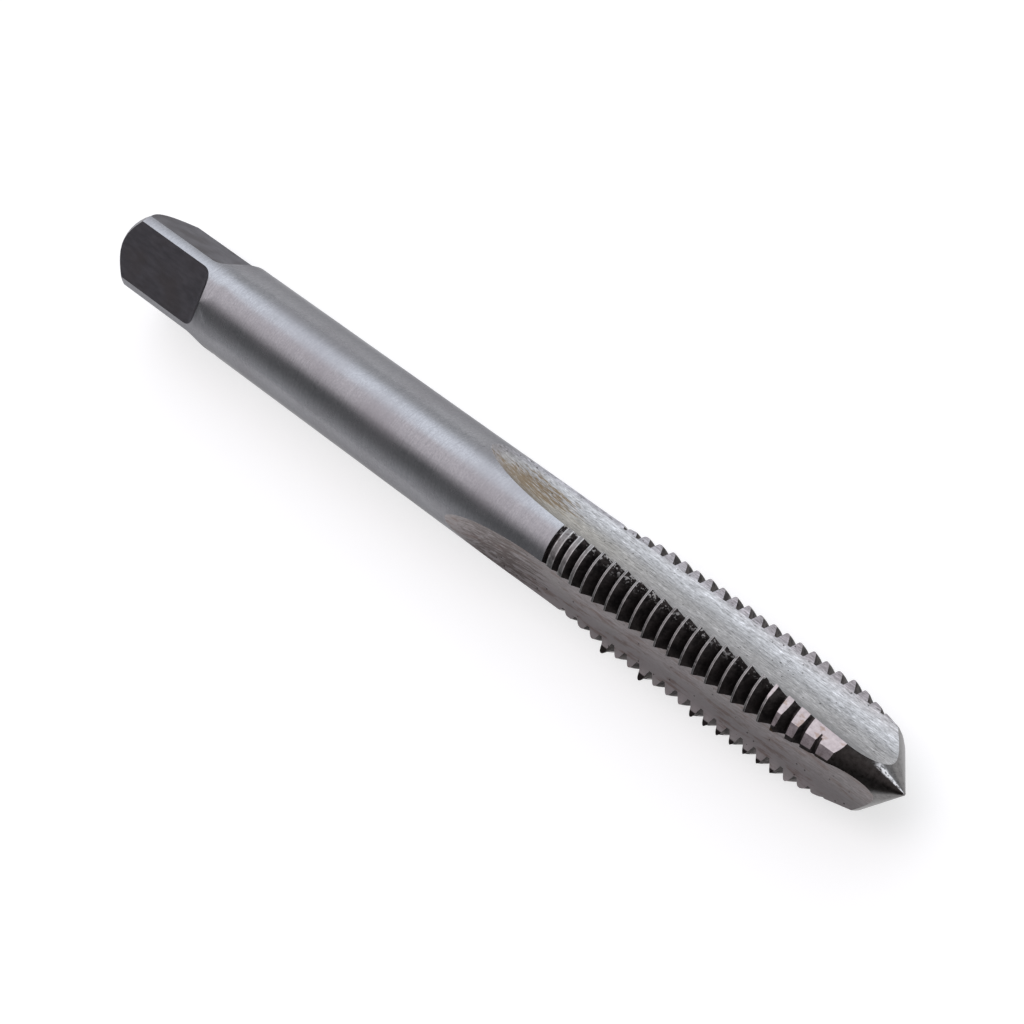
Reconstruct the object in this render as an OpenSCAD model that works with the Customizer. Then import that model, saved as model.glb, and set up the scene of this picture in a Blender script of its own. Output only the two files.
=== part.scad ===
// Thread tap with three straight flutes, ground from one piece of tool steel.
// It lies on its side along X, as it comes to rest on its shank: the point is towards +X,
// one flute faces down and one land faces up. Z = 0 is the surface that it lies on.
// The tap is worked out standing up, square end at z = 0, and laid down at the end.

/* [Lengths] */
// Whole length, from the square's end to the tip of the point
total_len = 66; // [60:0.5:72]
// Length from the tip back to the end of the plain shank
thread_len = 25.1; // [22:0.1:28]
// Length of the square's flats, up to the curve that ends them
square_len = 7.5; // [6:0.1:10]
// Length of the cone at the point
point_len = 2.8; // [2.5:0.05:3.2]
// Length over which the thread rises from the shank to its full height
fade_len = 3.9; // [3:0.1:5]

/* [Shank and square] */
// Diameter of the plain shank
shank_d = 5.15; // [4.9:0.05:5.3]
// Distance across two opposite flats of the square
square_af = 4; // [3.8:0.05:4.3]
// Radius of the curve where each flat runs out into the shank
square_runout_r = 2.2; // [1:0.1:3]
// Turn of the square about the axis, from the flute that faces down
square_turn = 13.5; // [0:0.5:45]
// How deep the bevel round the square's end goes in from the side
bevel_depth = 0.65; // [0.3:0.05:0.8]
// Length of that bevel along the tap
bevel_len = 1.1; // [0.3:0.1:1.4]

/* [Thread] */
// Major diameter of the thread
thread_d = 6; // [5.8:0.05:6.2]
// Distance from one thread to the next
pitch = 1; // [0.8:0.05:1.1]
// Angle between the two sides of a thread groove
thread_angle = 60; // [55:1:60]
// Width of the flat on top of a full thread
crest_flat = 0.12; // [0.08:0.01:0.16]
// Width of the flat at the bottom of a groove
root_flat = 0.2; // [0.12:0.01:0.24]
// Distance from the shank's end to the middle of the first groove, on the land that faces up
first_groove = 0.26; // [0.2:0.02:0.4]

/* [Point and chamfer] */
// Diameter of the cone at the point where it starts
point_d = 4.48; // [4.2:0.02:4.6]
// Diameter of the small blunt end of the point
point_flat_d = 0.16; // [0.1:0.02:0.3]
// Distance from the tip to where the chamfer reaches the full thread, at the cutting edge
chamfer_len = 6.7; // [6:0.1:8]
// Angle of the chamfer to the axis
chamfer_angle = 10; // [8:0.5:12]
// Where the facet at the cutting edge ends, in degrees from the land's middle
edge_facet_end = 14.7; // [12:0.1:17]
// Where the facet in the middle ends, in degrees from the land's middle
middle_facet_end = 2.2; // [0:0.1:5]

/* [Flutes] */
// Radius of the round bottom of a flute
flute_r = 2.25; // [2.1:0.05:2.5]
// Diameter of the core that the flutes leave at the tip
core_d = 1.84; // [1.6:0.02:2.2]
// Angle at which the flutes rise towards the shank
flute_rise = 1.28; // [0.5:0.02:1.5]
// Angle at which the flutes lean sideways from the axis
flute_lean = 0.64; // [0:0.02:1]
// Turn of the flutes at the tip, from the middle between two lands
flute_turn = 3; // [0:0.5:5]
// Distance from the tip to where a flute starts to run out
flute_straight = 25.5; // [22:0.1:27]
// Radius of the path on which a flute runs out into the shank
flute_runout_r = 33; // [25:1:50]

/* [Hidden] */
$fn = 72;

lands = 3;
land_step = 360 / lands;
shank_r = shank_d / 2;
thread_r = thread_d / 2;
// A cut reaches this far past the surface that it starts from
past = 0.05;

// Height above the square's end at which the plain shank ends
shank_end = total_len - thread_len;

// The groove's sides leave the crest and root flats, so its depth follows from the pitch
groove_depth = (pitch - crest_flat - root_flat) / 2 / tan(thread_angle / 2);
root_r = thread_r - groove_depth;
groove_mouth = root_flat + 2 * (groove_depth + past) * tan(thread_angle / 2);
// Lead angle of the thread half-way down a groove
lead_angle = atan(pitch / (2 * PI * (thread_r - groove_depth / 2)));
// Angle that one groove's cut spans, which ends inside the flutes on both sides of its land
groove_span = 0.6 * land_step;

// Facets of the relieved chamfer: the way that each one faces, from the land's middle
// towards its cutting edge. Each is lower than the one before it.
facet_edge = 18;
facet_middle = 3.5;
facet_heel = -14;

// Distance of each facet from the axis where the chamfer starts. Neighbours meet on a line.
edge_dist = thread_r * cos(facet_edge - edge_facet_end);
middle_dist = edge_dist * cos(edge_facet_end - facet_middle) / cos(facet_edge - edge_facet_end);
heel_dist = middle_dist * cos(middle_facet_end - facet_heel) / cos(middle_facet_end - facet_middle);

// Distance from the axis to the middle of a flute's round bottom, at the tip
flute_centre = core_d / 2 + flute_r;
// The run-out's path ends where it has left the shank
runout_rise = shank_r + flute_r + past - flute_centre - flute_straight * tan(flute_rise);
runout_angle = acos(1 - runout_rise / flute_runout_r) + 2 * flute_rise;

// Turned blank: bevelled end, shank, rise to the thread's full height, and point
module blank() {
    point_slope = (point_d - point_flat_d) / 2 / point_len;
    cone_top = total_len - (thread_r - point_flat_d / 2) / point_slope;
    rotate_extrude()
        polygon([
            [0, 0],
            [shank_r - bevel_depth, 0],
            [shank_r, bevel_len],
            [shank_r, shank_end - past],
            [thread_r, shank_end + fade_len],
            [thread_r, cone_top],
            [point_flat_d / 2, total_len],
            [0, total_len]
        ]);
}

// Cut for one flat of the square, on the +X side: a slot that ends in a round run-out
module square_cut() {
    rotate([90, 0, 0])
        linear_extrude(height = 2 * shank_d, center = true)
            union() {
                translate([square_af / 2, -past])
                    square([shank_r, square_len + past]);
                translate([square_af / 2 + square_runout_r, square_len])
                    circle(r = square_runout_r);
            }
}

// Cut for one flute, on the +X side: straight from the tip, then an arc out into the shank
module flute_cut() {
    translate([flute_centre, 0, total_len])
        rotate([-flute_lean, -flute_rise, 0])
            union() {
                translate([0, 0, -flute_straight])
                    cylinder(r = flute_r, h = flute_straight + point_len);
                translate([flute_runout_r, 0, -flute_straight])
                    rotate([90, 0, 0])
                        rotate([0, 0, 180])
                            rotate_extrude(angle = runout_angle)
                                translate([flute_runout_r, 0])
                                    circle(r = flute_r);
            }
}

// Cut for one thread groove across one land, on the +X side. It is tilted by the lead angle,
// so that the grooves of all lands lie on one right-hand helix.
module groove_cut() {
    rotate([lead_angle, 0, 0])
        rotate([0, 0, -groove_span / 2])
            rotate_extrude(angle = groove_span)
                polygon([
                    [root_r, -root_flat / 2],
                    [root_r, root_flat / 2],
                    [thread_r + past, groove_mouth / 2],
                    [thread_r + past, -groove_mouth / 2]
                ]);
}

// All grooves of one land, which lies at the given angle about the axis
module land_grooves(land_angle) {
    first = shank_end + first_groove + pitch * (land_angle - 180) / 360;
    skipped = first < shank_end + groove_mouth / 4 ? 1 : 0;
    count = floor((total_len - point_len - first) / pitch);
    rotate([0, 0, land_angle])
        for (i = [skipped : count])
            translate([0, 0, first + i * pitch])
                groove_cut();
}

// Cut for one facet of the chamfer, facing the given way, at a distance from the axis
module facet_cut(facing, distance) {
    rotate([0, 0, facing])
        translate([distance, -thread_r, total_len - chamfer_len])
            rotate([0, -chamfer_angle, 0])
                translate([0, 0, -pitch])
                    cube([thread_d, thread_d, chamfer_len + 2 * pitch]);
}

// Blank with its square, its facets and its flutes, which has no thread yet
module fluted_blank() {
    difference() {
        blank();
        for (side = [0 : 3])
            rotate([0, 0, square_turn + 90 * side])
                square_cut();
        for (land = [0 : lands - 1]) {
            land_angle = land_step * (land + 0.5);
            facet_cut(land_angle + facet_edge, edge_dist);
            facet_cut(land_angle + facet_middle, middle_dist);
            facet_cut(land_angle + facet_heel, heel_dist);
            rotate([0, 0, land_step * land + flute_turn])
                flute_cut();
        }
    }
}

// Whole tap, with the thread's grooves cut across its lands
module tap() {
    color("silver")
        translate([-total_len / 2, 0, shank_r])
            rotate([0, 90, 0])
                difference() {
                    fluted_blank();
                    for (land = [0 : lands - 1])
                        land_grooves(land_step * (land + 0.5));
                }
}

tap();
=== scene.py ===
"""Thread tap, dressed for Blender: a fine mesh of ground steel with a true helical thread replaces
the CAD node. The mesh is worked out in mm as in part.scad: standing up, square end at z = 0, with
angles counted from the flute that faces down. It is laid along +X when its points are written."""

import math

import bmesh
import bpy
import numpy as np
from mathutils import Matrix, Vector


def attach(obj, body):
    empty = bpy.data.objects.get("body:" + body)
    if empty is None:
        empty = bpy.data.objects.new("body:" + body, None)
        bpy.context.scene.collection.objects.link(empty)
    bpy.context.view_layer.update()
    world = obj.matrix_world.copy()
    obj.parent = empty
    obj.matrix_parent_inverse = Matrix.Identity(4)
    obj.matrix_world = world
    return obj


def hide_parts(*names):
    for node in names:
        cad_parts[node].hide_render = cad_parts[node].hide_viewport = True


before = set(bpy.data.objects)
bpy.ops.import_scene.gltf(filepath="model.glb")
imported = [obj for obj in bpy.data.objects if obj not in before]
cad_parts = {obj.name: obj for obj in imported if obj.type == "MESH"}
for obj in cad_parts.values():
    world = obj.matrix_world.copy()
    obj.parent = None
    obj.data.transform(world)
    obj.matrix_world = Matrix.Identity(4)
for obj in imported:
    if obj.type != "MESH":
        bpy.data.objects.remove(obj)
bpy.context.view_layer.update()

# Sizes, in mm and degrees, as in part.scad
TOTAL = 66.0
THREAD_LEN = 25.1
SQUARE_LEN = 7.5
POINT_LEN = 2.8
FADE_LEN = 3.9
SHANK_R = 2.575
FLAT_DIST = 2.0
FLAT_RUNOUT_R = 2.2
SQUARE_TURN = 13.5
BEVEL_DEPTH = 0.65
BEVEL_LEN = 1.1
THREAD_R = 3.0
PITCH = 1.0
CREST_FLAT = 0.12
ROOT_FLAT = 0.2
FIRST_GROOVE = 0.26
POINT_R = 2.24
TIP_R = 0.08
CHAMFER_LEN = 6.7
CHAMFER = math.tan(math.radians(10))
EDGE_END = 14.7
MIDDLE_END = 2.2
FACET_EDGE = 18.0
FACET_MIDDLE = 3.5
FACET_HEEL = -14.0
FLUTE_R = 2.25
CORE_R = 0.92
FLUTE_RISE = math.radians(1.28)
FLUTE_LEAN = math.radians(0.64)
FLUTE_TURN = 3.0
FLUTE_STRAIGHT = 25.5
RUNOUT_R = 33.0
LANDS = 3
LAND_STEP = 120.0


def cosd(angle):
    return np.cos(np.radians(angle))


def sind(angle):
    return np.sin(np.radians(angle))


# What follows from these sizes
SHANK_END = TOTAL - THREAD_LEN
TAN30 = math.tan(math.radians(30))
GROOVE_DEPTH = (PITCH - CREST_FLAT - ROOT_FLAT) / 2 / TAN30
GROOVE_0 = SHANK_END + FIRST_GROOVE
ROOT_R = THREAD_R - GROOVE_DEPTH
TOP_PHASE = ROOT_FLAT / 2 + GROOVE_DEPTH * TAN30
POINT_SLOPE = (POINT_R - TIP_R) / POINT_LEN
CONE_TOP = TOTAL - (THREAD_R - TIP_R) / POINT_SLOPE
CHAMFER_Z = TOTAL - CHAMFER_LEN
EDGE_DIST = THREAD_R * cosd(FACET_EDGE - EDGE_END)
MIDDLE_DIST = EDGE_DIST * cosd(EDGE_END - FACET_MIDDLE) / cosd(FACET_EDGE - EDGE_END)
HEEL_DIST = MIDDLE_DIST * cosd(MIDDLE_END - FACET_HEEL) / cosd(MIDDLE_END - FACET_MIDDLE)
FACETS = [(FACET_HEEL, HEEL_DIST), (FACET_MIDDLE, MIDDLE_DIST), (FACET_EDGE, EDGE_DIST)]
FLUTE_C = CORE_R + FLUTE_R
# A radius or distance that cuts nothing, the least cosine that a facet's radius is divided by, and
# the margin within which two heights are the same
FAR = 99.0
LEAST_COS = 0.2
TINY = 1e-9

# Wear of the crests on each land, and how round it left them. Land 1 is the one that faces up
WEAR = (0.15, 0.02, 0.1)
ROUNDING = (0.05, 0.008, 0.1)
# Teeth of land 2 that kept their full height, by their place along the tap from its middle
SHARP = (11.94, 14.94, 18.94, 19.94, 20.94, 21.94, 22.94, 23.94, 24.94)
# Half the length that stays unworn at such a tooth, and the length over which the wear sets in
KEPT_HALF, KEPT_FADE = 0.3, 0.2
# Round beads on their tips, where the tips are painted black as shade: radius, distance from the axis,
# where they end and have their middle round the land, over how many degrees they end, and how near
# to a tooth's place they are
BEAD_R, BEAD_CENTRE, BEAD_END, BEAD_MIDDLE = 0.2, 2.88, -17, -28
BEAD_FADE, BEAD_REACH = 5, 0.35
# Painted shade, near black, on the crests of those teeth: how many columns wide, and half its length
TIP_SHADE_COLS, TIP_SHADE_HALF = 3, 0.2

# Columns of the mesh: each flat, corner, stretch of a land and half flute, 96 round the tap in all
FLAT_COLS = 16
CORNER_COLS = 8
LAND_COLS = (10, 6, 4)
HALF_FLUTE = 6
COLS = 96
# The flat that the seam lies in has its columns in two parts
SEAM_START, SEAM_END = 10, 6

# Rows of the mesh: this one is moved onto the edge where the cone starts
CONE_ROW = 63.1
# The last groove that still cuts the chamfer, and how much deeper it is than the others
LAST = 21
LAST_DEEPER = 0.045
# Steps away from an edge that opens or closes along a curve
NEAR = [0.003, 0.012, 0.03, 0.06, 0.1, 0.16, 0.24, 0.34, 0.48, 0.66, 0.9]
# Where the rows start to follow the helix, over what length, and over what length they stop again
HELIX_START, HELIX_RISE, HELIX_FALL = 33.8, 5.6, 1.0
# Where the square's columns start to change over to the flutes' columns, and over what length
CHANGE_START, CHANGE_LEN = 9.6, 21.0
# Past a flute's ends its edges' columns spread by so many degrees per mm, up to so many degrees
SPREAD_SHANK = (5, 11)
SPREAD_POINT = (30, 20)
# A face this much lower than the blank is a groove's side
GROOVE_MARGIN = 0.004
# Points nearer than this in metres are joined, and an edge bent by more than this angle is sharp
JOIN_DIST = 2e-7
SHARP_BEND = math.radians(11)


def blank_r(z):
    """Radius of the turned blank at height z."""
    heights = [0, BEVEL_LEN, SHANK_END - 0.05, SHANK_END + FADE_LEN, CONE_TOP, TOTAL]
    return np.interp(z, heights, [SHANK_R - BEVEL_DEPTH, SHANK_R, SHANK_R, THREAD_R, THREAD_R, TIP_R])


def facet_r(z, local):
    """Radius at which the chamfer's facets cut, at an angle from the land's middle."""
    best = np.full(np.broadcast(z, local).shape, FAR)
    for facing, dist in FACETS:
        c = np.maximum(cosd(local - facing), LEAST_COS)
        r = (dist - (z - CHAMFER_Z) * CHAMFER) / c
        best = np.minimum(best, np.where(z > CHAMFER_Z - PITCH, r, FAR))
    return best


def cone_start(local):
    """Height at which the chamfer's facets meet the point's cone, at an angle from the land's middle."""
    best = np.zeros(np.shape(local))
    for facing, dist in FACETS:
        c = np.maximum(cosd(local - facing), LEAST_COS)
        z = (TIP_R + TOTAL * POINT_SLOPE - (dist + CHAMFER_Z * CHAMFER) / c) / (POINT_SLOPE - CHAMFER / c)
        best = np.maximum(best, z)
    return best


def facet_bounds(z):
    """Angles from the land's middle at which neighbouring facets meet, at height z."""
    t = (np.maximum(z, CHAMFER_Z) - CHAMFER_Z) * CHAMFER
    out = []
    for (f1, d1), (f2, d2) in zip(FACETS, FACETS[1:]):
        a = (d2 - t) * cosd(f1) - (d1 - t) * cosd(f2)
        b = (d2 - t) * sind(f1) - (d1 - t) * sind(f2)
        out.append(np.degrees(np.arctan2(-a * np.sign(b), np.abs(b))))
    return out


def tube(s, beta):
    """Point on a flute's surface: s along its path from the tip, beta round it. 180 is its bottom."""
    cb, sb = cosd(beta), sind(beta)
    a = np.maximum(s - FLUTE_STRAIGHT, 0) / RUNOUT_R
    x = FLUTE_R * cb * np.cos(a) + RUNOUT_R * (1 - np.cos(a))
    z = -np.minimum(s, FLUTE_STRAIGHT) - RUNOUT_R * np.sin(a) + FLUTE_R * cb * np.sin(a)
    y = FLUTE_R * sb
    leaned_y = y * math.cos(FLUTE_LEAN) + z * math.sin(FLUTE_LEAN)
    leaned_z = -y * math.sin(FLUTE_LEAN) + z * math.cos(FLUTE_LEAN)
    risen_x = x * math.cos(FLUTE_RISE) - leaned_z * math.sin(FLUTE_RISE)
    risen_z = x * math.sin(FLUTE_RISE) + leaned_z * math.cos(FLUTE_RISE)
    return risen_x + FLUTE_C, leaned_y, risen_z + TOTAL


def flute_at(z, beta):
    """Radius and angle, counted from the flute's own direction, of its surface at height z."""
    s = TOTAL - z
    for _ in range(7):
        x, y, reached = tube(s, beta)
        s = s + (reached - z)
    return np.hypot(x, y), np.degrees(np.arctan2(y, x)) + FLUTE_TURN


def min_gap(x, places):
    return np.min([np.abs(x - q) for q in places], axis=0)


def worn(z, land):
    """How much the crests of a land are worn down at height z."""
    full = z * 0 + WEAR[land]
    if land == 2:
        return full * np.clip((min_gap(z - TOTAL / 2, SHARP) - KEPT_HALF) / KEPT_FADE, 0, 1)
    if land == 0:
        return full * (0.75 + 0.25 * np.sin(z * 1.7) * np.sin(z * 0.61 + 1))
    return full


def beaded(z, r, local, off):
    """Radius with the round beads that sit on the tips of some teeth of land 2, where the tips are painted
    black as shade.
    """
    at_edge = np.clip((BEAD_END - local) / BEAD_FADE, 0, 1)
    here = min_gap(z - TOTAL / 2 - PITCH * (local - BEAD_MIDDLE) / 360, SHARP) < BEAD_REACH
    bead = BEAD_CENTRE + np.sqrt(np.maximum(BEAD_R ** 2 - off ** 2, 0))
    inside = here & (np.abs(off) < BEAD_R)
    return r + np.where(inside, np.maximum(bead - r, 0) * at_edge, 0)


def soft_min(a, b, k):
    """The lower of two radii, rounded where they meet."""
    return (a + b - np.sqrt((a - b) ** 2 + 4 * k * k)) / 2


def smooth(t):
    return t * t * (3 - 2 * t)


def shear_at(z):
    """How far the rows follow the helix: none on the shank and at the point, fully on the thread."""
    up = np.clip((z - HELIX_START) / HELIX_RISE, 0, 1)
    down = np.clip((z - CONE_ROW) / HELIX_FALL, 0, 1)
    return smooth(up) * (1 - smooth(down))


def bisect(f, lo, hi):
    """Where a rising function crosses zero."""
    for _ in range(40):
        mid = (lo + hi) / 2
        if f(mid) > 0:
            hi = mid
        else:
            lo = mid
    return (lo + hi) / 2


def bottom_r(z):
    """Distance of a flute's bottom line from the axis at height z."""
    return float(flute_at(np.array(z), np.array(180.0))[0])


flat_start = (FLAT_DIST - (SHANK_R - BEVEL_DEPTH)) * BEVEL_LEN / BEVEL_DEPTH
flat_end = SQUARE_LEN + math.sqrt(FLAT_RUNOUT_R ** 2 - (FLAT_DIST + FLAT_RUNOUT_R - SHANK_R) ** 2)
flute_start = bisect(lambda z: SHANK_R - bottom_r(z), 25.0, 40.0)
flute_end = bisect(lambda z: bottom_r(z) - blank_r(z), 64.0, 65.9)


def shank_rows():
    """Heights of the rows from the square's end to where the thread starts."""
    z = [0.0, 0.04, 0.09, flat_start]
    z += [flat_start + d for d in NEAR if flat_start + d < BEVEL_LEN - 0.05]
    z += [BEVEL_LEN, 1.6, 2.6, 3.8, 5.0, 6.2, 7.0]
    z += list(np.arange(SQUARE_LEN, flat_end - 0.4, 0.12))
    z += [flat_end - d for d in NEAR[:7]][::-1]
    z += [flat_end, 9.3]
    z += list(np.linspace(10.0, 31.0, 15))
    z += [32.0, flute_start - 0.15, flute_start - 0.03, flute_start]
    z += [flute_start + d for d in NEAR]
    z += list(np.arange(flute_start + 1.2, SHANK_END - 0.75, 0.3))
    return [(h, None, None) for h in z]


def places_in_pitch():
    """Rows in one pitch: side of the groove's middle, what they lie on, and how far across it."""
    places = [(side, "flank", f) for side in (-1, 1) for f in (0.0, 0.1, 0.28, 0.5, 0.72, 0.9, 1.0)]
    places.append((1, "root", 0.0))
    places += [(1, "crest", f) for f in (0.35, 0.7, 1.0)]
    places += [(-1, "crest", f) for f in (0.35, 0.7)]
    return places


def phase_of(side, kind, f, top):
    """Distance along the tap from the groove's middle, with the crest's edge at top."""
    if kind == "root":
        return 0.0
    if kind == "flank":
        return side * (ROOT_FLAT / 2 + f * (top - ROOT_FLAT / 2))
    return side * (top + f * (PITCH / 2 - top))


def thread_rows():
    """Rows of all grooves: height at the angle where the helix starts, groove and place."""
    out = []
    for i in range(-1, LAST + 1):
        for place in places_in_pitch():
            z = GROOVE_0 + i * PITCH + phase_of(*place, TOP_PHASE)
            if z > GROOVE_0 - 0.62:
                out.append((z, i, place))
    return out


def point_rows(last_thread):
    """Heights of the rows from the last groove to the tip."""
    z = list(np.linspace(last_thread, CONE_ROW, 8)[1:])
    z += list(np.arange(CONE_ROW + 0.08, flute_end - 0.95, 0.1))
    z += [flute_end - d for d in NEAR][::-1]
    z += [flute_end + d for d in (0, 0.02, 0.2, 0.5, 0.8)]
    z += [TOTAL - 0.12, TOTAL]
    return [(h, None, None) for h in z]


rows = sorted(shank_rows() + thread_rows(), key=lambda row: row[0])
last_thread = rows[-1][0]
rows += point_rows(last_thread)
ROWS = len(rows)

# Each row's height, share of the helix, groove, and side, kind and fraction of its place
row_z = np.array([r[0] for r in rows])
row_s = shear_at(row_z)
groove = np.array([0 if r[1] is None else r[1] for r in rows], float)
side_of = np.array([0 if r[2] is None else r[2][0] for r in rows], float)
kind = np.array(["plain" if r[2] is None else r[2][1] for r in rows])
frac = np.array([0 if r[2] is None else r[2][2] for r in rows], float)
threaded = kind != "plain"
has_flute = (row_z > flute_start - TINY) & (row_z < flute_end + TINY)
bottom = flute_at(np.clip(row_z, flute_start, flute_end), np.full(ROWS, 180.0))[1]


def on_helix(phi):
    """Height of every row at angle phi."""
    return row_z + row_s * PITCH * (phi - 180) / 360


def onto_cone(base, phi, local):
    """Heights of the rows past the thread, with the one that marks the cone's start moved onto it."""
    before = 1 - (CONE_ROW - row_z) / (CONE_ROW - last_thread)
    after = 1 - (row_z - CONE_ROW) / 0.9
    near = np.clip(np.where(row_z < CONE_ROW, before, after), 0, 1)
    onto = cone_start(local) - (CONE_ROW + PITCH * (phi - 180) / 360)
    return base + onto * near * ~threaded


def land_point(phi, land):
    """Height and radius of every row's point at angle phi on a land."""
    local = phi - LAND_STEP * (land + 0.5)
    base = onto_cone(on_helix(phi), phi, local)
    centre = GROOVE_0 + groove * PITCH + PITCH * (phi - 180) / 360
    root = np.where(groove == LAST, ROOT_R - LAST_DEEPER, ROOT_R)
    z = base.copy()
    for _ in range(4):
        rt = np.minimum(blank_r(z) - worn(centre, land) * threaded, facet_r(z, local))
        top = np.clip(ROOT_FLAT / 2 + (rt - root) * TAN30, ROOT_FLAT / 2 + 0.02, PITCH / 2 - 0.02)
        on_flank = side_of * (ROOT_FLAT / 2 + frac * (top - ROOT_FLAT / 2))
        on_crest = side_of * (top + frac * (PITCH / 2 - top))
        phase = np.where(kind == "flank", on_flank, np.where(kind == "crest", on_crest, 0.0))
        z = np.where(threaded, centre + phase, base)
    loss = worn(z, land) * np.clip((z - SHANK_END) / 1.5, 0, 1) * np.clip((61 - z) / 2, 0, 1)
    rt = np.minimum(blank_r(z) - loss * (z > SHANK_END), facet_r(z, local))
    off = np.abs(z - centre)
    flank = root + np.maximum(off - ROOT_FLAT / 2, 0) / TAN30
    grooved = soft_min(flank, rt, ROUNDING[land] * np.clip((rt - root) * 3, 0, 1))
    # On land 0 the first groove lies before the thread's end and isn't cut
    cut = threaded & (groove >= (1 if land == 0 else 0))
    r = np.where(cut, grooved, rt)
    return z, beaded(z, r, local, PITCH / 2 - off) if land == 2 else r


def corner(flute, side):
    """Angle, height and radius of every row at one edge of a flute, and the flute's own angle there.
    Side -1 is the edge towards lower angles, where the land before it ends."""
    land = (flute - 1 if side < 0 else flute) % LANDS
    lo, hi = np.full(ROWS, 180.0), np.full(ROWS, 180.0 - 178 * side)
    for _ in range(44):
        mid = (lo + hi) / 2
        z = row_z
        for _ in range(4):
            flute_r, angle = flute_at(z, mid)
            phi = LAND_STEP * flute + angle
            z, r = land_point(phi, land)
        out = flute_r > r
        hi = np.where(out, mid, hi)
        lo = np.where(out, lo, mid)
    return phi, z, r, mid


def flute_edge(flute, side):
    """One edge of a flute. Past the flute's ends its columns spread over the round surface."""
    phi, z, r, beta = corner(flute, side)
    before = np.clip((flute_start - row_z) * SPREAD_SHANK[0], 0, SPREAD_SHANK[1])
    after = np.clip((row_z - flute_end) * SPREAD_POINT[0], 0, SPREAD_POINT[1])
    spread = np.where(row_z < flute_start, before, after)
    phi = np.where(has_flute, phi, LAND_STEP * flute + bottom + side * spread)
    plain_z, plain_r = land_point(phi, (flute - 1 if side < 0 else flute) % LANDS)
    return (phi, np.where(has_flute, z, plain_z), np.where(has_flute, r, plain_r),
            np.where(has_flute, beta, 180.0))


# Edges of all flutes. Flute 3 is flute 0 again, one turn on
edges = {(flute, side): flute_edge(flute, side)
         for flute in range(LANDS + 1) for side in (-1, 1) if (flute, side) not in ((0, -1), (LANDS, 1))}


def flute_columns(flute, side):
    """Columns from a flute's bottom line to one of its edges."""
    edge_phi, edge_z, edge_r, edge_beta = edges[flute, side]
    turn = LAND_STEP * flute
    lift = edge_z - on_helix(edge_phi)
    cols = []
    for n in range(HALF_FLUTE):
        t = n / HALF_FLUTE
        beta = 180.0 + (edge_beta - 180.0) * t
        even = turn + bottom + (edge_phi - turn - bottom) * t
        phi = even
        for _ in range(5):
            z = on_helix(phi) + lift * t
            flute_r, angle = flute_at(z, beta)
            phi = np.where(has_flute, turn + angle, even)
        z = np.where(has_flute, z, on_helix(even))
        cols.append((phi, z, np.where(has_flute, flute_r, blank_r(z))))
    cols.append((edge_phi, edge_z, edge_r))
    return cols


def land_columns(land):
    """Columns of a land from its first edge, with the facets' bounds on columns of their own."""
    a_phi, a_z, a_r, _ = edges[land, 1]
    b_phi = edges[land + 1, -1][0]
    m1, m2 = (LAND_STEP * (land + 0.5) + m for m in facet_bounds(row_z))
    # Both bounds stay within these shares of the land, so that no column gets too narrow
    m1 = np.clip(m1, a_phi + 0.4 * (b_phi - a_phi), a_phi + 0.62 * (b_phi - a_phi))
    m2 = np.clip(m2, m1 + 0.3 * (b_phi - m1), m1 + 0.85 * (b_phi - m1))
    stops = [a_phi, m1, m2, b_phi]
    angles = []
    for part, n in enumerate(LAND_COLS):
        angles += [stops[part] + (stops[part + 1] - stops[part]) * i / n for i in range(n)]
    return [(a_phi, a_z, a_r)] + [(phi, *land_point(phi, land)) for phi in angles[1:]]


def all_columns():
    """Columns right round the tap, from the bottom line of the flute that faces down."""
    cols = flute_columns(0, 1)[:-1]
    for land in range(LANDS):
        cols += land_columns(land)
        cols += flute_columns(land + 1, -1)[:0:-1]
        if land < LANDS - 1:
            cols += flute_columns(land + 1, 1)[:-1]
    cols.append(flute_columns(LANDS, -1)[0])
    return cols


def flat_distance(z):
    """Distance of the square's flats from the axis."""
    if z <= SQUARE_LEN:
        return FLAT_DIST
    if z < flat_end:
        return FLAT_DIST + FLAT_RUNOUT_R - math.sqrt(FLAT_RUNOUT_R ** 2 - (z - SQUARE_LEN) ** 2)
    return FAR


def square_angles(z, half):
    """Angles of the columns round the square, whose flats reach half an angle to either side."""
    show = half
    if half == 0 and z < 1:
        show = 6.0 * min(1.0, abs(z - flat_start) * 20)
    elif half == 0:
        show = min(30.0, 1.0 + 25 * (z - flat_end))
    angles = list(np.linspace(SQUARE_TURN, SQUARE_TURN + show, SEAM_START + 1)[:-1])
    for q in range(4):
        first, last = SQUARE_TURN + 90 * q + show, SQUARE_TURN + 90 * (q + 1) - show
        angles += list(np.linspace(first, last, CORNER_COLS + 1)[:-1])
        if q < 3:
            angles += list(np.linspace(last, last + 2 * show, FLAT_COLS + 1)[:-1])
    return np.array(angles + list(np.linspace(last, SQUARE_TURN + 360, SEAM_END + 1)))


def square_row(z, flute_angles):
    """Angles and radii of a row on the square or the plain shank. Its columns change over to the
    flutes' columns between the two."""
    r = float(blank_r(z))
    dist = flat_distance(z)
    half = math.degrees(math.acos(dist / r)) if dist < r else 0.0
    t = smooth(np.clip((z - CHANGE_START) / CHANGE_LEN, 0, 1))
    phi = square_angles(z, half) * (1 - t) + flute_angles * t
    off = (phi - SQUARE_TURN + 45) % 90 - 45
    return phi, np.minimum(r, dist / np.maximum(cosd(off), 0.5)) if half > 0 else r


phi_all, z_all, r_all = (np.stack(part, axis=1) for part in zip(*all_columns()))
for k in np.nonzero(row_z < flute_start - TINY)[0]:
    z_all[k] = row_z[k]
    phi_all[k], r_all[k] = square_row(row_z[k], phi_all[k])

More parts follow.
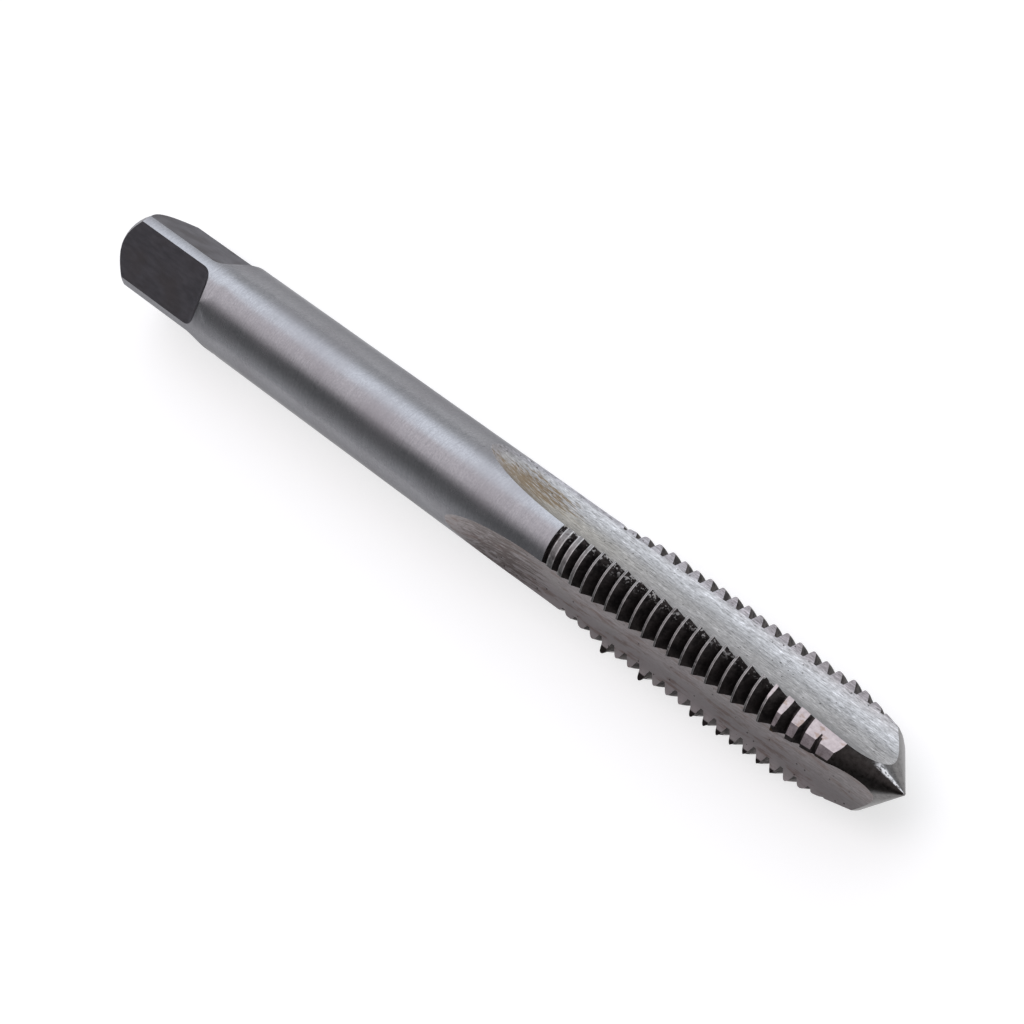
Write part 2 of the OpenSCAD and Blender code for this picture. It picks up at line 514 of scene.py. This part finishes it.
# Which land a column belongs to, or -1, its place in that land, and which columns are on flats
STEP_COLS = sum(LAND_COLS) + 2 * HALF_FLUTE
in_step = (np.arange(COLS) - HALF_FLUTE) % STEP_COLS
land_of = np.where(in_step < sum(LAND_COLS), (np.arange(COLS) - HALF_FLUTE) // STEP_COLS, -1)
on_flat = np.zeros(COLS, bool)
on_flat[:SEAM_START] = True
on_flat[-SEAM_END:] = True
for q in range(3):
    first = SEAM_START + CORNER_COLS * (q + 1) + FLAT_COLS * q
    on_flat[first:first + FLAT_COLS] = True


def chamfer_finish(c):
    """Which facet of the chamfer a column lies on."""
    if in_step[c] < LAND_COLS[0]:
        return "heel"
    return "middle" if in_step[c] < sum(LAND_COLS[:2]) else "edge"


def land_finish(k, c):
    """Name of the finish of a face on a land."""
    z = (z_all[k, c] + z_all[k + 1, c + 1]) / 2
    r = (r_all[k, c] + r_all[k + 1, c + 1] + r_all[k, c + 1] + r_all[k + 1, c]) / 4
    local = (phi_all[k, c] + phi_all[k + 1, c + 1]) / 2 - LAND_STEP * (land_of[c] + 0.5)
    facet, blank = float(facet_r(np.array(z), np.array(local))), float(blank_r(z))
    crest = max(frac[i] * (kind[i] == "crest") for i in (k, k + 1))
    if row_z[k] >= CONE_ROW - 1e-6:
        return "point"
    low = r < min(facet, blank) - GROOVE_MARGIN
    if threaded[k] and threaded[k + 1] and low and "crest" not in kind[k:k + 2]:
        return "flank"
    if facet < blank and z > CHAMFER_Z - PITCH:
        return chamfer_finish(c)
    if z < SHANK_END + 0.3:
        return "shank"
    # Painted shade: the first columns of land 2's crests at those teeth are near black
    if land_of[c] == 2 and in_step[c] < TIP_SHADE_COLS and min_gap(z - TOTAL / 2, SHARP) < TIP_SHADE_HALF:
        return "painted_tip_shade"
    # The outer strips of the crests get a lighter steel: a painted highlight along their edges
    return "rim" if crest < 0.5 else "crest"


def face_finish(k, c):
    """Name of the finish of the face between rows k and k + 1 and columns c and c + 1."""
    z = (row_z[k] + row_z[k + 1]) / 2
    if flat_start < z < flat_end and on_flat[c]:
        return "flat"
    if z < flute_start:
        return "shank"
    if land_of[c] >= 0:
        return land_finish(k, c)
    return "flute" if z < flute_end else "point"


def tap_mesh(finishes):
    """Mesh of the whole tap. Finishes maps the name of each finish to its material."""
    x = (z_all - TOTAL / 2) / 1000
    y = r_all * sind(phi_all) / 1000
    z = (SHANK_R - r_all * cosd(phi_all)) / 1000
    verts = np.stack([x, y, z], axis=2).reshape(-1, 3)
    wide = COLS + 1
    ends = len(verts)
    verts = np.vstack([verts, [[side * TOTAL / 2000, 0, SHANK_R / 1000] for side in (-1, 1)]])
    faces, names = [], []
    for k in range(ROWS - 1):
        for c in range(COLS):
            at = k * wide + c
            faces.append((at, at + 1, at + wide + 1, at + wide))
            names.append(face_finish(k, c))
    for c in range(COLS):
        last = (ROWS - 1) * wide + c
        faces += [(ends, c + 1, c), (ends + 1, last, last + 1)]
        names += ["shank", "point"]
    mesh = bpy.data.meshes.new("tap_ground")
    mesh.from_pydata(verts.tolist(), [], faces)
    order = list(finishes)
    mesh.polygons.foreach_set("material_index", np.array([order.index(n) for n in names], np.int32))
    for material in finishes.values():
        mesh.materials.append(material)
    mesh.update()
    return mesh


def weld(mesh):
    """Close the seams, turn the faces outwards, and shade smoothly up to the real edges."""
    bm = bmesh.new()
    bm.from_mesh(mesh)
    bmesh.ops.remove_doubles(bm, verts=bm.verts, dist=JOIN_DIST)
    bmesh.ops.recalc_face_normals(bm, faces=bm.faces)
    bm.to_mesh(mesh)
    bm.free()
    mesh.shade_smooth()
    mesh.set_sharp_from_angle(angle=SHARP_BEND)


class Nodes:
    """Small helper that adds nodes to one node tree and links them."""

    def __init__(self, tree):
        self.tree = tree

    def node(self, kind, **props):
        n = self.tree.nodes.new("ShaderNode" + kind)
        for name, value in props.items():
            setattr(n, name, value)
        return n

    def link(self, a, b):
        self.tree.links.new(a, b)

    def feed(self, value, socket):
        if isinstance(value, (int, float)):
            socket.default_value = value
        elif isinstance(value, tuple):
            socket.default_value = (*value, 1)
        else:
            self.link(value, socket)

    def math(self, op, a, b=0.0):
        n = self.node("Math", operation=op)
        self.feed(a, n.inputs[0])
        self.feed(b, n.inputs[1])
        return n.outputs[0]

    def between(self, value, lo, hi, out_lo=0.0, out_hi=1.0, kind="SMOOTHSTEP"):
        """A value that goes from out_lo to out_hi while the given one goes from lo to hi."""
        n = self.node("MapRange", interpolation_type=kind)
        self.feed(value, n.inputs["Value"])
        for name, v in (("From Min", lo), ("From Max", hi), ("To Min", out_lo), ("To Max", out_hi)):
            n.inputs[name].default_value = v
        return n.outputs[0]

    def ramp(self, fac, stops):
        n = self.node("ValToRGB")
        elements = n.color_ramp.elements
        while len(elements) < len(stops):
            elements.new(0.5)
        for element, (position, colour) in zip(elements, stops):
            element.position = position
            element.color = (*colour, 1)
        self.link(fac, n.inputs[0])
        return n.outputs[0]

    def mix(self, fac, a, b, mode="MIX", kind="RGBA"):
        n = self.node("Mix", data_type=kind, blend_type=mode)
        sockets = {s.name: s for s in n.inputs if s.enabled}
        for value, name in ((fac, "Factor"), (a, "A"), (b, "B")):
            self.feed(value, sockets[name])
        return [s for s in n.outputs if s.enabled][0]


class Steel(Nodes):
    """Node material of ground steel, placed by object coordinates in mm."""

    def __init__(self, name):
        self.mat = bpy.data.materials.new(name)
        self.mat.use_nodes = True
        super().__init__(self.mat.node_tree)
        self.tree.nodes.clear()
        self.bsdf = self.node("BsdfPrincipled")
        self.link(self.bsdf.outputs[0], self.node("OutputMaterial").inputs[0])
        self.bsdf.inputs["Metallic"].default_value = 1.0
        self.place = self.node("TexCoord").outputs["Object"]

    def stretch(self, scale, location):
        """Object coordinates in mm, scaled per axis."""
        n = self.node("Mapping")
        n.inputs["Scale"].default_value = [s * 1000 for s in scale]
        n.inputs["Location"].default_value = location
        self.link(self.place, n.inputs["Vector"])
        return n.outputs[0]

    def noise(self, scale, detail=3.0, rough=0.55, location=(0, 0, 0)):
        n = self.node("TexNoise")
        n.inputs["Scale"].default_value = 1.0
        n.inputs["Detail"].default_value = detail
        n.inputs["Roughness"].default_value = rough
        self.link(self.stretch(scale, location), n.inputs["Vector"])
        return n.outputs["Fac"]

    def cells(self, scale):
        """Distance to the nearest of scattered points."""
        n = self.node("TexVoronoi")
        n.inputs["Scale"].default_value = 1.0
        self.link(self.stretch(scale, (0, 0, 0)), n.inputs["Vector"])
        return n.outputs["Distance"]

    def along(self, axis):
        """One object coordinate in mm."""
        n = self.node("SeparateXYZ")
        self.link(self.place, n.inputs[0])
        return self.math("MULTIPLY", n.outputs["XYZ".index(axis)], 1000.0)

    def finish(self, colour, rough, height, distance, rim=1.0):
        """Close the material: bumps stand up to distance in mm, and rim darkens what is seen edge-on."""
        self.link(colour, self.bsdf.inputs["Base Color"])
        self.bsdf.inputs["Specular Tint"].default_value = (rim, rim, rim * 1.02, 1)
        self.feed(rough, self.bsdf.inputs["Roughness"])
        n = self.node("Bump")
        n.inputs["Strength"].default_value = 1.0
        n.inputs["Distance"].default_value = distance / 1000
        self.link(height, n.inputs["Height"])
        self.link(n.outputs[0], self.bsdf.inputs["Normal"])
        return self.mat


# How much the shank and the flats darken where they are seen edge-on
DARK_RIM = 0.5
# Stains of the flutes: middle and half size along X and along Y in mm, colour and strength
STAINS = (
    ((2.7, 3.0), (1.62, 0.5), (0.2, 0.145, 0.08), 0.9),
    ((3.6, 2.8), (-1.85, 0.8), (0.12, 0.095, 0.085), 0.75),
)
# Stretches along X in mm where the tips of the teeth on the -y side are painted black as shade
SHADED_TIPS = ((11.4, 12.4), (14.4, 15.4), (18.4, 25.4))


def shank_steel():
    """Cylindrically ground: fine lines run round it, with soft blotches of use."""
    t = Steel("ground_shank")
    lines = t.noise((11, 0.5, 0.5), 4.0, 0.65)
    grain = t.noise((9, 7, 7), 2.0, 0.6, (3, 1, 7))
    blotch = t.noise((0.22, 0.5, 0.5), 3.0, 0.55, (5, 2, 1))
    tone = t.math("ADD", t.math("MULTIPLY", lines, 0.45), t.math("MULTIPLY", grain, 0.55))
    stops = [(0.3, (0.25, 0.252, 0.262)), (0.5, (0.305, 0.306, 0.317)), (0.7, (0.37, 0.37, 0.38))]
    colour = t.mix(t.between(blotch, 0.42, 0.7, 0, 0.35), t.ramp(tone, stops), (0.25, 0.238, 0.25))
    height = t.math("ADD", lines, t.math("MULTIPLY", grain, 0.6))
    return t.finish(colour, t.between(blotch, 0.3, 0.7, 0.2, 0.3), height, 0.0016, DARK_RIM)


def flat_steel():
    """Flats of the square: darker, milled, with faint marks and grime."""
    t = Steel("square_flat")
    marks = t.noise((1.0, 4, 4), 3.0, 0.5)
    grime_and_tip_shade = t.noise((0.5, 0.7, 0.7), 3.0, 0.5, (4, 4, 0))
    colour = t.ramp(marks, [(0.3, (0.12, 0.117, 0.127)), (0.7, (0.165, 0.16, 0.174))])
    colour = t.mix(t.between(grime_and_tip_shade, 0.42, 0.66, 0, 0.6), colour, (0.095, 0.086, 0.084))
    return t.finish(colour, t.between(grime_and_tip_shade, 0.3, 0.7, 0.3, 0.4), marks, 0.0012, DARK_RIM)


def flute_steel():
    """Ground flutes: short streaks along the tap, pits, stains, and darker faces of the teeth. The side
    turned to +y is painted as lit and the side turned to -y is painted in shade.
    """
    t = Steel("flute_steel")
    x, y = t.along("X"), t.along("Y")
    streak = t.noise((0.9, 13, 13), 4.0, 0.7)
    short = t.noise((3.2, 17, 17), 3.0, 0.65, (9, 3, 2))
    tone = t.math("ADD", t.math("MULTIPLY", streak, 0.5), t.math("MULTIPLY", short, 0.5))
    # Painted shade: the side turned to -y gets a darker, flatter copy of the steel, and it is also made
    # rougher
    dull_and_shaded = t.between(y, -0.1, -0.6)
    colour = t.mix(dull_and_shaded, lit_bright_side(t, tone), shaded_dull_side(t, tone, y))
    cloud = t.noise((0.35, 0.9, 0.9), 3.0, 0.6, (2, 6, 1))
    colour = t.mix(t.between(cloud, 0.42, 0.7, 0, 0.3), colour, (0.28, 0.275, 0.265))
    brown = t.noise((0.5, 4, 4), 4.0, 0.65, (1, 8, 5))
    colour = t.mix(t.math("MULTIPLY", dull_and_shaded, t.between(brown, 0.5, 0.66, 0, 0.6)), colour, (0.19, 0.13, 0.112))
    colour = stained(t, colour, x, y, streak)
    colour = tooth_faces(t, colour, x, y)
    pits = t.cells((1.6, 2.6, 2.6))
    colour = t.mix(t.between(pits, 0.13, 0.05, 0, 0.85), colour, (0.05, 0.045, 0.045))
    height = t.math("ADD", tone, t.between(pits, 0.05, 0.16, 0, 0.5))
    rough = t.math("ADD", t.between(tone, 0.3, 0.7, 0.44, 0.3), t.math("MULTIPLY", dull_and_shaded, 0.15))
    return t.finish(colour, rough, height, 0.012)


def lit_bright_side(t, tone):
    """Freshly ground steel with strong streaks, painted as lit for the side turned to +y."""
    stops = [(0.32, (0.13, 0.13, 0.13)), (0.44, (0.31, 0.31, 0.308)), (0.56, (0.45, 0.45, 0.45))]
    return t.ramp(tone, stops + [(0.68, (0.75, 0.75, 0.76))])


def shaded_dull_side(t, tone, y):
    """The side turned to -y, in painted shade: darker, duller and warmer, and lighter towards its edge."""
    soft = t.ramp(tone, [(0.3, (0.16, 0.142, 0.142)), (0.7, (0.36, 0.33, 0.33))])
    return t.mix(t.between(y, -0.8, -2.4), soft, (0.36, 0.33, 0.33))


def stained(t, colour, x, y, streak):
    """Streaky stains where two flutes run out, and a faint yellow cast in the +y one's lower half."""
    long = t.noise((0.3, 9, 9), 4.0, 0.7, (4, 1, 3))
    uneven = t.math("ADD", t.math("MULTIPLY", streak, 2.0), t.math("MULTIPLY", long, 9.0))
    for (at_x, half_x), (at_y, half_y), stain, most in STAINS:
        from_x = t.math("DIVIDE", t.math("SUBTRACT", x, at_x), half_x)
        from_y = t.math("DIVIDE", t.math("SUBTRACT", y, at_y), half_y)
        far = t.math("ADD", t.math("MULTIPLY", from_x, from_x), t.math("MULTIPLY", from_y, from_y))
        far = t.math("ADD", far, t.math("SUBTRACT", uneven, 5.5))
        colour = t.mix(t.between(far, 1.5, -0.3, 0, most), colour, stain)
    low = t.math("MULTIPLY", t.between(y, 1.9, 1.3), t.between(y, 0.2, 0.6))
    cast = t.math("MULTIPLY", low, t.between(x, 16.0, 3.0, 0, 0.6))
    return t.mix(cast, colour, (0.94, 0.89, 0.72), "MULTIPLY")


def tooth_faces(t, colour, x, y):
    """The teeth's faces are darker than the flutes; at some of them the tips are painted black as shade."""
    up = t.math("SUBTRACT", t.along("Z"), SHANK_R)
    radius = t.math("SQRT", t.math("ADD", t.math("MULTIPLY", y, y), t.math("MULTIPLY", up, up)))
    teeth = t.math("MULTIPLY", t.between(radius, 2.3, 2.5), t.between(y, -0.1, 0.1))
    colour = t.mix(teeth, colour, (0.74, 0.72, 0.74), "MULTIPLY")
    spots = 0.0
    for lo, hi in SHADED_TIPS:
        here = t.math("MULTIPLY", t.math("GREATER_THAN", x, lo), t.math("LESS_THAN", x, hi))
        spots = t.math("MAXIMUM", here, spots)
    # Painted shade: near black on the tips of the teeth on the -y side
    shaded_tips = t.math("MULTIPLY", t.between(radius, 2.7, 2.78), t.between(y, 0.1, -0.1))
    return t.mix(t.math("MULTIPLY", shaded_tips, spots), colour, (0.02, 0.017, 0.016))


def flank_steel():
    """Thread grooves, near black, with crumbs of metal at the upper edge."""
    t = Steel("thread_flank")
    groove_grain = t.noise((3, 3, 3), 4.0, 0.6)
    colour = t.ramp(groove_grain, [(0.35, (0.018, 0.016, 0.016)), (0.7, (0.06, 0.052, 0.05))])
    crumbs = t.noise((4.6, 5.2, 5.2), 2.0, 0.7, (7, 2, 5))
    patches = t.noise((0.5, 0.5, 0.5), 2.0, 0.5, (8, 8, 1))
    edge = t.math("MULTIPLY", t.between(t.along("Y"), 0.35, 0.8), t.between(t.along("Z"), 4.2, 4.8))
    edge = t.math("MULTIPLY", edge, t.between(patches, 0.42, 0.56, 0.15, 1.0))
    colour = t.mix(t.math("MULTIPLY", edge, t.between(crumbs, 0.54, 0.62)), colour, (0.48, 0.47, 0.46))
    height = t.math("ADD", groove_grain, t.math("MULTIPLY", crumbs, edge))
    return t.finish(colour, t.between(groove_grain, 0.3, 0.7, 0.5, 0.34), height, 0.03)


def point_steel():
    """The cone, painted by the way it faces: shaded black on the land that faces up, lit grey on the sides,
    with a painted glint between.
    """
    t = Steel("point_cone")
    grain = t.noise((4, 5, 5), 4.0, 0.65)
    shaded_black = t.ramp(grain, [(0.32, (0.03, 0.027, 0.025)), (0.68, (0.06, 0.055, 0.052))])
    lit_grey = t.ramp(grain, [(0.32, (0.13, 0.127, 0.125)), (0.68, (0.22, 0.215, 0.21))])
    # Angle about the tap's length, in degrees from straight up towards +y
    turned = t.math("ARCTAN2", t.along("Y"), t.math("SUBTRACT", t.along("Z"), SHANK_R))
    turned = t.math("MULTIPLY", turned, math.degrees(1))
    # Painted light and shade by the way the cone faces: black on the land turned up, grey past 24 to 30
    # degrees towards +y and below -34 degrees
    colour = t.mix(t.between(turned, 24, 30), shaded_black, lit_grey)
    colour = t.mix(t.between(turned, -34, -60), colour, lit_grey)
    # Painted highlight: a patchy pale glint between the black and the grey, towards the tip
    patchy = t.noise((2.5, 9, 9), 3.0, 0.6, (3, 5, 8))
    painted_glint = t.math("MULTIPLY", t.between(turned, 15, 22), t.between(turned, 38, 29))
    painted_glint = t.math("MULTIPLY", painted_glint, t.between(t.along("X"), 31.4, 31.9))
    colour = t.mix(t.math("MULTIPLY", painted_glint, t.between(patchy, 0.36, 0.56)), colour, (0.8, 0.79, 0.78))
    return t.finish(colour, t.between(grain, 0.3, 0.7, 0.26, 0.36), grain, 0.004)


def worn_steel(name, dark, light, spot, rough, spots=0.6):
    """Small ground faces of the thread and the chamfer, spotted by use."""
    t = Steel(name)
    grain = t.noise((4, 5, 5), 4.0, 0.65)
    colour = t.ramp(grain, [(0.32, dark), (0.68, light)])
    stain = t.noise((1.6, 3.2, 3.2), 3.0, 0.65, (2, 7, 3))
    colour = t.mix(t.between(stain, 0.55, 0.66, 0, spots), colour, spot)
    return t.finish(colour, t.between(grain, 0.3, 0.7, rough, rough + 0.1), grain, 0.006)


def all_finishes():
    """The materials by the names that face_finish gives."""
    return {
        "shank": shank_steel(),
        "flat": flat_steel(),
        "flute": flute_steel(),
        "flank": flank_steel(),
        "crest": worn_steel("thread_crest", (0.12, 0.115, 0.113), (0.24, 0.23, 0.225),
                            (0.06, 0.05, 0.05), 0.34),
        # Chamfer facets, one ground steel in painted light and shade by facet: the heel is painted pale as
        # lit
        "heel": worn_steel("chamfer_heel", (0.36, 0.33, 0.335), (0.5, 0.46, 0.46),
                           (0.26, 0.17, 0.11), 0.28, 0.5),
        "point": point_steel(),
        # The middle facet is painted mid grey, between the lit heel and the shaded edge
        "middle": worn_steel("chamfer_middle", (0.13, 0.115, 0.12), (0.24, 0.215, 0.22),
                             (0.1, 0.085, 0.08), 0.3),
        # The cutting edge's facet is painted near black as shade
        "edge": worn_steel("chamfer_edge", (0.03, 0.027, 0.027), (0.07, 0.064, 0.062),
                           (0.1, 0.07, 0.04), 0.34),
        # Painted shade, near black, on the crests at the tips of some teeth of land 2
        "painted_tip_shade": worn_steel("grime_and_tip_shade", (0.006, 0.005, 0.005), (0.015, 0.013, 0.012),
                           (0.02, 0.015, 0.01), 0.45),
        # Painted highlight: lighter steel on the strips along the crests' edges
        "rim": worn_steel("crest_edge_highlight", (0.24, 0.235, 0.23), (0.46, 0.45, 0.44),
                          (0.12, 0.11, 0.1), 0.3),
    }


def linked(name, data):
    obj = bpy.data.objects.new(name, data)
    bpy.context.scene.collection.objects.link(obj)
    return obj


# Grey of the floor, and what lifts it to white for the camera and in reflections
FLOOR_GREY = 0.5
FLOOR_LIFT = 0.64


def floor_paint():
    """Pale floor that keeps the tap's shadow."""
    material = bpy.data.materials.new("floor_pale")
    material.use_nodes = True
    n = Nodes(material.node_tree)
    paint = material.node_tree.nodes["Principled BSDF"]
    paint.inputs["Base Color"].default_value = (FLOOR_GREY, FLOOR_GREY, FLOOR_GREY, 1)
    paint.inputs["Roughness"].default_value = 0.9
    paint.inputs["Emission Color"].default_value = (1, 1, 1, 1)
    rays = n.node("LightPath").outputs
    seen = n.math("MAXIMUM", rays["Is Camera Ray"], rays["Is Glossy Ray"])
    seen = n.math("MAXIMUM", seen, rays["Is Transmission Ray"])
    n.link(n.math("MULTIPLY", seen, FLOOR_LIFT), paint.inputs["Emission Strength"])
    return material


def add_floor():
    mesh = bpy.data.meshes.new("floor")
    mesh.from_pydata([(-1, -1, 0), (1, -1, 0), (1, 1, 0), (-1, 1, 0)], [], [(0, 1, 2, 3)])
    mesh.materials.append(floor_paint())
    floor = linked("floor", mesh)


# Soft studio round the tap. Its light comes in bands that run along the tap, given as the angle
# about its length and the level there: 0 is straight up, 90 is towards +y
BANDS = [(-180, 0.62), (-95, 0.62), (-78, 0.52), (-62, 0.3), (-50, 0.18), (-28, 0.16), (-14, 0.6), (-2, 1.0),
         (24, 1.05), (34, 1.5), (52, 1.6), (62, 1.2), (72, 0.72), (90, 0.62), (180, 0.62)]
# Level of the light as a whole, and the share of it that comes from beyond the tap's point
LEVEL = 1.2
AHEAD = 0.45
MID_TINT = (1.03, 0.97, 1.02)
STREAK_TINT = (0.96, 1.0, 1.08)
REST_TINT = (0.98, 0.99, 1.03)


def band_stops(brightest):
    """The bands as stops of a colour ramp, in shares of the brightest."""
    stops = []
    for angle, level in BANDS:
        tint = MID_TINT if -14 <= angle < 30 else STREAK_TINT if 30 <= angle <= 62 else REST_TINT
        stops.append((angle / 360 + 0.5, tuple(level / brightest * c for c in tint)))
    return stops


def add_studio():
    """World that lights the tap and is white to the camera."""
    world = bpy.data.worlds.new("studio")
    bpy.context.scene.world = world
    world.use_nodes = True
    n = Nodes(world.node_tree)
    ray = n.node("SeparateXYZ")
    n.link(n.node("TexCoord").outputs["Generated"], ray.inputs[0])
    turned = n.math("ARCTAN2", ray.outputs[1], ray.outputs[2])
    brightest = max(level for _, level in BANDS)
    bands = n.ramp(n.between(turned, -math.pi, math.pi, kind="LINEAR"), band_stops(brightest))
    most = LEVEL * brightest
    strength = n.between(ray.outputs[0], 0.1, 0.6, most, AHEAD * most, "LINEAR")
    camera_ray = n.node("LightPath").outputs["Is Camera Ray"]
    background = world.node_tree.nodes["Background"]
    n.link(n.mix(camera_ray, bands, (1, 1, 1)), background.inputs[0])
    n.link(n.mix(camera_ray, strength, 1.0, kind="FLOAT"), background.inputs[1])


# Camera, fitted to the photograph: focal length in pixels of the 1024 wide picture, tilt towards
# the tap's point, turn about its length, roll, distance, and the point aimed at
PICTURE_PX = 1024
FOCAL_PX = 4985.0
TILT, TURN, ROLL = (math.radians(a) for a in (46.43, 4.5, 35.955))
DISTANCE = 0.2433
AIM_X, ASIDE = 0.001945, 0.075e-3


def add_camera():
    along = Vector((1, 0, 0))
    above = Vector((0, math.sin(TURN), math.cos(TURN)))
    across = Vector((0, math.cos(TURN), -math.sin(TURN)))
    back = math.sin(TILT) * along + math.cos(TILT) * above
    down = math.cos(TILT) * along - math.sin(TILT) * above
    right = math.cos(ROLL) * down + math.sin(ROLL) * across
    up = -math.sin(ROLL) * down + math.cos(ROLL) * across
    data = bpy.data.cameras.new("camera")
    data.sensor_width = 36
    data.sensor_fit = "HORIZONTAL"
    data.lens = FOCAL_PX / PICTURE_PX * data.sensor_width
    data.clip_start, data.clip_end = 0.01, 10
    camera = linked("camera", data)
    place = Matrix((right, up, back)).transposed().to_4x4()
    place.translation = Vector((AIM_X, 0, SHANK_R / 1000)) + DISTANCE * back - ASIDE * across
    camera.matrix_world = place
    bpy.context.scene.camera = camera


ground = tap_mesh(all_finishes())
weld(ground)
tap = linked("tap_ground", ground)
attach(tap, "root")
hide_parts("tap")
add_floor()
add_studio()
add_camera()
bpy.context.scene.view_settings.view_transform = "Standard"
